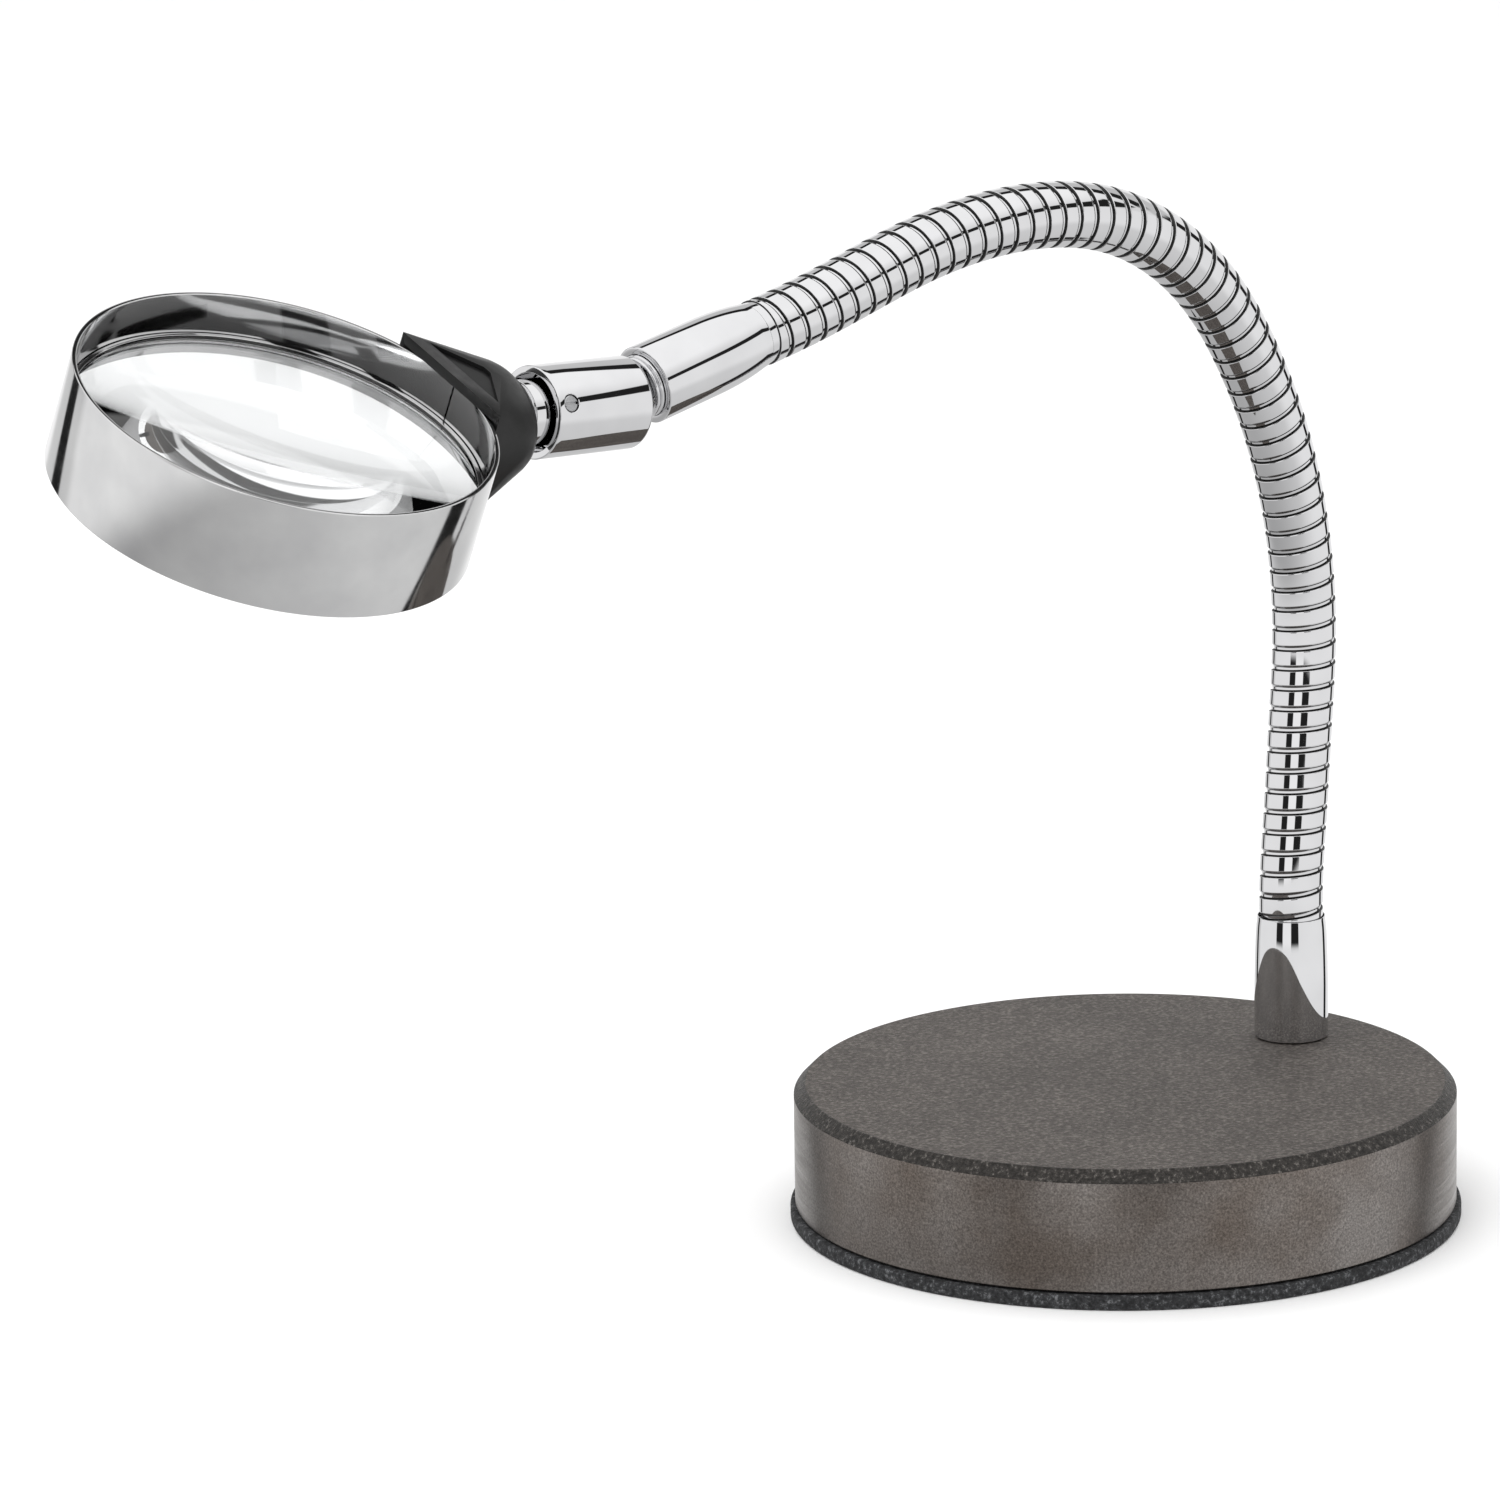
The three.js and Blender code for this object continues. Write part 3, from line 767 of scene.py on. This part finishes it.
def make_ring():
    """One bent band, rounded at its rims, with a slit and a clamp tab on each side of it."""
    section = filleted([
        (RING_RADIUS - RING_WALL, RING_BOTTOM, 0.2),
        (RING_RADIUS, RING_BOTTOM, 0.2),
        (RING_RADIUS, RING_TOP, 0.2),
        (RING_RADIUS - RING_WALL, RING_TOP, 0.2),
    ], closed=True)
    steps = 240
    gap = 0.25 / RING_RADIUS
    vertices, faces = [], []
    count = len(section)
    for j in range(steps + 1):
        angle = gap + (2 * math.pi - 2 * gap) * j / steps
        vertices += [(r * math.cos(angle), r * math.sin(angle), z) for r, z in section]
    for j in range(steps):
        for k in range(count):
            n = (k + 1) % count
            faces.append((j * count + k, (j + 1) * count + k, (j + 1) * count + n, j * count + n))
    faces.append(tuple(range(count)))
    faces.append(tuple(steps * count + k for k in reversed(range(count))))
    for side in (-1, 1):
        base = len(vertices)
        near, far = sorted((side * 0.25, side * 1.25))
        reach = (RING_RADIUS - 0.4, RING_RADIUS + 4.5)
        corners = [(x, y, z) for x in reach for y in (near, far) for z in (-8, 6)]
        vertices += corners
        box_faces = [(0, 1, 3, 2), (4, 6, 7, 5), (0, 4, 5, 1), (2, 3, 7, 6), (0, 2, 6, 4), (1, 5, 7, 3)]
        faces += [tuple(base + corner for corner in quad) for quad in box_faces]
    ring = new_piece("lens_band", vertices, faces, [RING_METAL], frame_matrix=RING_PLACE)
    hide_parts("lens_ring")
    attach(ring, "head")


def make_lens():
    radius, top, bottom, crown = 43.5, -1.4, -4.4, 5.5
    shares = np.sin(np.linspace(0, math.pi / 2, 25))
    outline = [(radius * s, bottom - crown * (1 - s * s)) for s in shares]
    outline += [(radius, bottom + 0.3), (radius, top - 0.3)]
    outline += [(radius * s, top + crown * (1 - s * s)) for s in reversed(shares)]
    outline[0], outline[-1] = (0, outline[0][1]), (0, outline[-1][1])

    def zone(a, b):
        return 1 if a[0] > radius - 0.01 and b[0] > radius - 0.01 else 0

    looks = [GLASS, GROUND_GLASS]
    lens = revolve("glass_lens", outline, RING_PLACE, None, sides=128, pick=zone, materials=looks)
    lens.visible_shadow = False
    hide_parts("lens")
    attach(lens, "head")
    for name, node, low, high in (
        ("lens_keeper", "lens_retaining_ring", -0.7, 0.3),
        ("lens_seat", "lens_seat_ring", -6.3, -5.1),
    ):
        section = [(42.8, low, 0.1), (43.75, low), (43.75, high), (42.8, high, 0.1)]
        outline = filleted(section, closed=True)
        thin = revolve(name, outline, RING_PLACE, RING_METAL, closed=True, sides=160)
        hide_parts(node)
        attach(thin, "head")


def hull_object(name, points):
    work = bmesh.new()
    for point in points:
        work.verts.new(point)
    bmesh.ops.convex_hull(work, input=work.verts)
    loose = [v for v in work.verts if not v.link_faces]
    bmesh.ops.delete(work, geom=loose, context="VERTS")
    bmesh.ops.recalc_face_normals(work, faces=work.faces)
    mesh = bpy.data.meshes.new(name)
    work.to_mesh(mesh)
    work.free()
    made = bpy.data.objects.new(name, mesh)
    bpy.context.scene.collection.objects.link(made)
    return made


def lathe_points(outline, sides):
    """Points of a body turned about +X from (radius, x)."""
    return [
        (x, r * math.cos(2 * math.pi * k / sides), r * math.sin(2 * math.pi * k / sides))
        for r, x in outline
        for k in range(sides)
    ]


def combine(target, tool, operation):
    modifier = target.modifiers.new(operation.lower(), "BOOLEAN")
    modifier.object = tool
    modifier.operation = operation
    modifier.solver = "EXACT"
    apply_modifiers(target)
    bpy.data.objects.remove(tool)


def apply_modifiers(target):
    graph = bpy.context.evaluated_depsgraph_get()
    mesh = bpy.data.meshes.new_from_object(target.evaluated_get(graph))
    target.modifiers.clear()
    target.data = mesh


# The holder's oval neck, from the yoke to the handle: (distance, half width, half height).
HOLDER_NECK = [
    (53.4, 15.9, 12.2),
    (56.5, 15, 11.6),
    (57.9, 14.05, 10.95),
    (59.1, 12.8, 10),
    (60.0, 11.75, 9.3),
    (60.7, 10.6, 8.5),
    (61.15, 9.75, 8.05),
    (61.4, 9, 7.6),
]


def oval(x, wide, high, limit, sides):
    angles = [2 * math.pi * k / sides for k in range(sides)]
    return [(x, wide * math.cos(a), max(-limit, min(limit, high * math.sin(a)))) for a in angles]


def make_holder():
    """A moulded yoke: round at the stem, spreading to a flat-topped rectangle at the band."""
    face, half_width, half_height = 42.3, 17.5, 11.9
    points = [(face, w * half_width, h * half_height) for w in (-1, 1) for h in (-1, 1)]
    for reach, wide, high in HOLDER_NECK:
        points += oval(reach, wide, high, half_height, 96)
    holder = hull_object("lens_holder", points)
    sweep = [2 * math.pi * k / 192 for k in range(192)]
    clear = RING_RADIUS + 0.3
    heights = (-40, RING_TOP + 0.3)
    space = [(clear * math.cos(a), clear * math.sin(a), z) for a in sweep for z in heights]
    combine(holder, hull_object("band_space", space), "DIFFERENCE")
    panel = [(45.6, -12.4), (51.8, -1.2), (51.8, 1.2), (45.6, 12.4)]
    sunk = [(x, y, z) for x, y in panel for z in (half_height - 1.0, half_height + 2)]
    combine(holder, hull_object("panel", sunk), "DIFFERENCE")
    slot = [(x, y, z) for x in (40, 49.8) for y in (-1.55, 1.55) for z in (-8.3, 6.3)]
    combine(holder, hull_object("tab_slot", slot), "DIFFERENCE")
    bore = lathe_points([(3.7, 52.2), (3.7, 63)], 48)
    combine(holder, hull_object("insert_bore", bore), "DIFFERENCE")
    bevel = holder.modifiers.new("soft_edges", "BEVEL")
    bevel.width = 0.45
    bevel.segments = 3
    bevel.limit_method = "ANGLE"
    bevel.angle_limit = math.radians(32)
    apply_modifiers(holder)
    place = RING_PLACE.copy()
    place.translation *= MM
    holder.data.transform(Matrix.Scale(MM, 4))
    holder.data.transform(place)
    holder.data.materials.clear()
    holder.data.materials.append(BLACK_PLASTIC)
    holder.data.polygons.foreach_set("use_smooth", [True] * len(holder.data.polygons))
    holder.data.set_sharp_from_angle(angle=math.radians(28))
    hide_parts("holder")
    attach(holder, "head")


# ---------------------------------------------------------------- carried-over pieces
CARRIED = {
    "base_washer": STEEL,
    "base_screw": STEEL,
    "neck_foot_plug": STEEL,
    "neck_head_plug": STEEL,
    "ball_liner": NYLON,
    "thrust_pad": NYLON,
    "pressure_spring": STEEL,
    "holder_insert": BRASS,
}


def dress_carried_nodes():
    for name, material in CARRIED.items():
        mesh = frame["nodes"][name].data
        mesh.materials.clear()
        mesh.materials.append(material)


# ---------------------------------------------------------------- studio
def make_floor():
    size = 12
    mesh = bpy.data.meshes.new("floor")
    corners = [(-size, -size, 0), (size, -size, 0), (size, size, 0), (-size, size, 0)]
    mesh.from_pydata(corners, [], [(0, 1, 2, 3)])
    look = Look("floor_paper", (0.93, 0.93, 0.93), 0.9)
    look.shader.inputs["Specular IOR Level"].default_value = 0.0
    mesh.materials.append(look.material)
    floor = bpy.data.objects.new("floor", mesh)
    bpy.context.scene.collection.objects.link(floor)
    floor.visible_glossy = False


def make_world():
    """Soft white surroundings, with the dark gaps between softboxes that polished metal shows."""
    world = bpy.data.worlds.new("studio")
    bpy.context.scene.world = world
    world.use_nodes = True
    tree = world.node_tree
    background = tree.nodes["Background"]

    def node(kind, *values, **settings):
        made = tree.nodes.new("ShaderNode" + kind)
        for key, value in settings.items():
            setattr(made, key, value)
        for i, value in enumerate(values):
            if isinstance(value, bpy.types.NodeSocket):
                tree.links.new(value, made.inputs[i])
            elif value is not None:
                made.inputs[i].default_value = value
        return made.outputs[0]

    def math_node(operation, *values):
        return node("Math", *values, operation=operation)

    def step(value, low, high, start=0.0, end=1.0):
        return node("MapRange", value, low, high, start, end, interpolation_type="SMOOTHSTEP")

    def band(value, low, high, soft):
        """1 between two values, fading over a soft edge."""
        rise = step(value, low - soft, low + soft)
        fall = step(value, high - soft, high + soft, 1.0, 0.0)
        return math_node("MULTIPLY", rise, fall)

    direction = tree.nodes.new("ShaderNodeTexCoord").outputs["Generated"]
    turned = tree.nodes.new("ShaderNodeVectorRotate")
    turned.rotation_type = "Z_AXIS"
    turned.inputs["Angle"].default_value = math.radians(CAMERA_AZIMUTH)
    tree.links.new(direction, turned.inputs["Vector"])
    split = tree.nodes.new("ShaderNodeSeparateXYZ")
    tree.links.new(turned.outputs[0], split.inputs[0])
    side, back, up = split.outputs
    front = math_node("MULTIPLY", back, -1.0)
    degrees = 180 / math.pi
    arch = math_node("MULTIPLY", math_node("ARCTAN2", up, front), degrees)
    turn = math_node("MULTIPLY", math_node("ARCTAN2", side, front), degrees)
    height = math_node("MULTIPLY", math_node("ARCSINE", up), degrees)

    def mixed(first, second, share):
        change = math_node("SUBTRACT", second, first)
        return math_node("ADD", first, math_node("MULTIPLY", change, share))

    # Table below, walls at eye height, softbox overhead, and a greyer panel behind it.
    table = math_node("ADD", math_node("MULTIPLY", side, 0.2), 0.66)
    low = mixed(table, 1.04, step(height, -27.0, -12.0))
    softbox = step(height, 20.0, 45.0, 0.93, 1.22)
    above = step(height, 17.0, 20.0)
    light = mixed(low, softbox, above)
    behind = math_node("MULTIPLY", step(arch, 136.0, 140.0), above)
    light = mixed(light, 0.7, behind)
    rear_left = (band(turn, -158.0, -122.0, 4.0), band(height, -16.0, 17.0, 3.0))
    light = mixed(light, 0.76, math_node("MULTIPLY", *rear_left))

    # The dark gaps: one that climbs to the right, one across the back, and the upright ones.
    slope = math_node("ADD", math_node("MULTIPLY", turn, 0.267), -2.26)
    climb = math_node("SUBTRACT", height, slope)
    low_front = band(height, -10.0, 38.0, 1.0)
    gaps = [
        math_node("MULTIPLY", band(climb, -4.0, 4.0, 0.5), band(turn, 58.0, 113.0, 1.0)),
        math_node("MULTIPLY", band(arch, 133.5, 143.0, 0.8), step(height, 22.0, 26.0)),
        math_node("MULTIPLY", band(turn, 118.0, 132.0, 1.0), band(height, -55.0, 20.0, 1.0)),
        math_node("MULTIPLY", band(turn, -143.0, -132.0, 0.8), band(height, -55.0, 9.0, 1.0)),
        math_node("MULTIPLY", band(turn, -52.0, -31.0, 0.8), low_front),
        math_node("MULTIPLY", band(turn, -4.0, 20.0, 0.8), low_front),
    ]
    key = math_node("MULTIPLY", band(turn, -30.0, -4.0, 0.8), low_front)
    light = mixed(light, 1.15, key)
    for gap in gaps:
        light = mixed(light, 0.02, gap)
    tree.links.new(light, background.inputs["Color"])
    background.inputs["Strength"].default_value = 1.0


def make_lights():
    def area(name, place, target, size, power):
        data = bpy.data.lights.new(name, "AREA")
        data.shape = "RECTANGLE"
        data.size, data.size_y = size
        data.energy = power
        lamp = bpy.data.objects.new(name, data)
        bpy.context.scene.collection.objects.link(lamp)
        lamp.location = place
        aim = Vector(target) - Vector(place)
        lamp.rotation_mode = "QUATERNION"
        lamp.rotation_quaternion = aim.to_track_quat("-Z", "Y")
        lamp.visible_glossy = False

    area("softbox_top", (-0.2, 0.1, 1.6), (-0.05, 0, 0.1), (1.6, 1.2), 9)
    area("softbox_left", (-1.5, -0.6, 0.9), (0, 0, 0.1), (0.9, 0.9), 5)


def make_camera():
    data = bpy.data.cameras.new("camera")
    data.sensor_width = 36
    data.lens = 211.2
    data.clip_end = 50
    camera = bpy.data.objects.new("camera", data)
    bpy.context.scene.collection.objects.link(camera)
    azimuth, pitch = math.radians(CAMERA_AZIMUTH), math.radians(CAMERA_PITCH)
    ahead = Vector((math.sin(azimuth), math.cos(azimuth), 0)) * math.cos(pitch)
    ahead.z = -math.sin(pitch)
    right = Vector((math.cos(azimuth), -math.sin(azimuth), 0))
    up = right.cross(ahead)
    turn = Matrix((right, up, -ahead)).transposed()
    roll = Matrix.Rotation(math.radians(CAMERA_ROLL), 3, "Z")
    camera.matrix_world = (turn @ roll).to_4x4()
    camera.location = CAMERA_PLACE
    bpy.context.scene.camera = camera


make_camera()
make_base()
make_lower_ferrule()
make_neck()
make_upper_ferrule()
make_socket()
make_stem()
make_ring()
make_lens()
make_holder()
dress_carried_nodes()
make_floor()
make_world()
make_lights()
bpy.context.scene.view_settings.view_transform = "Standard"
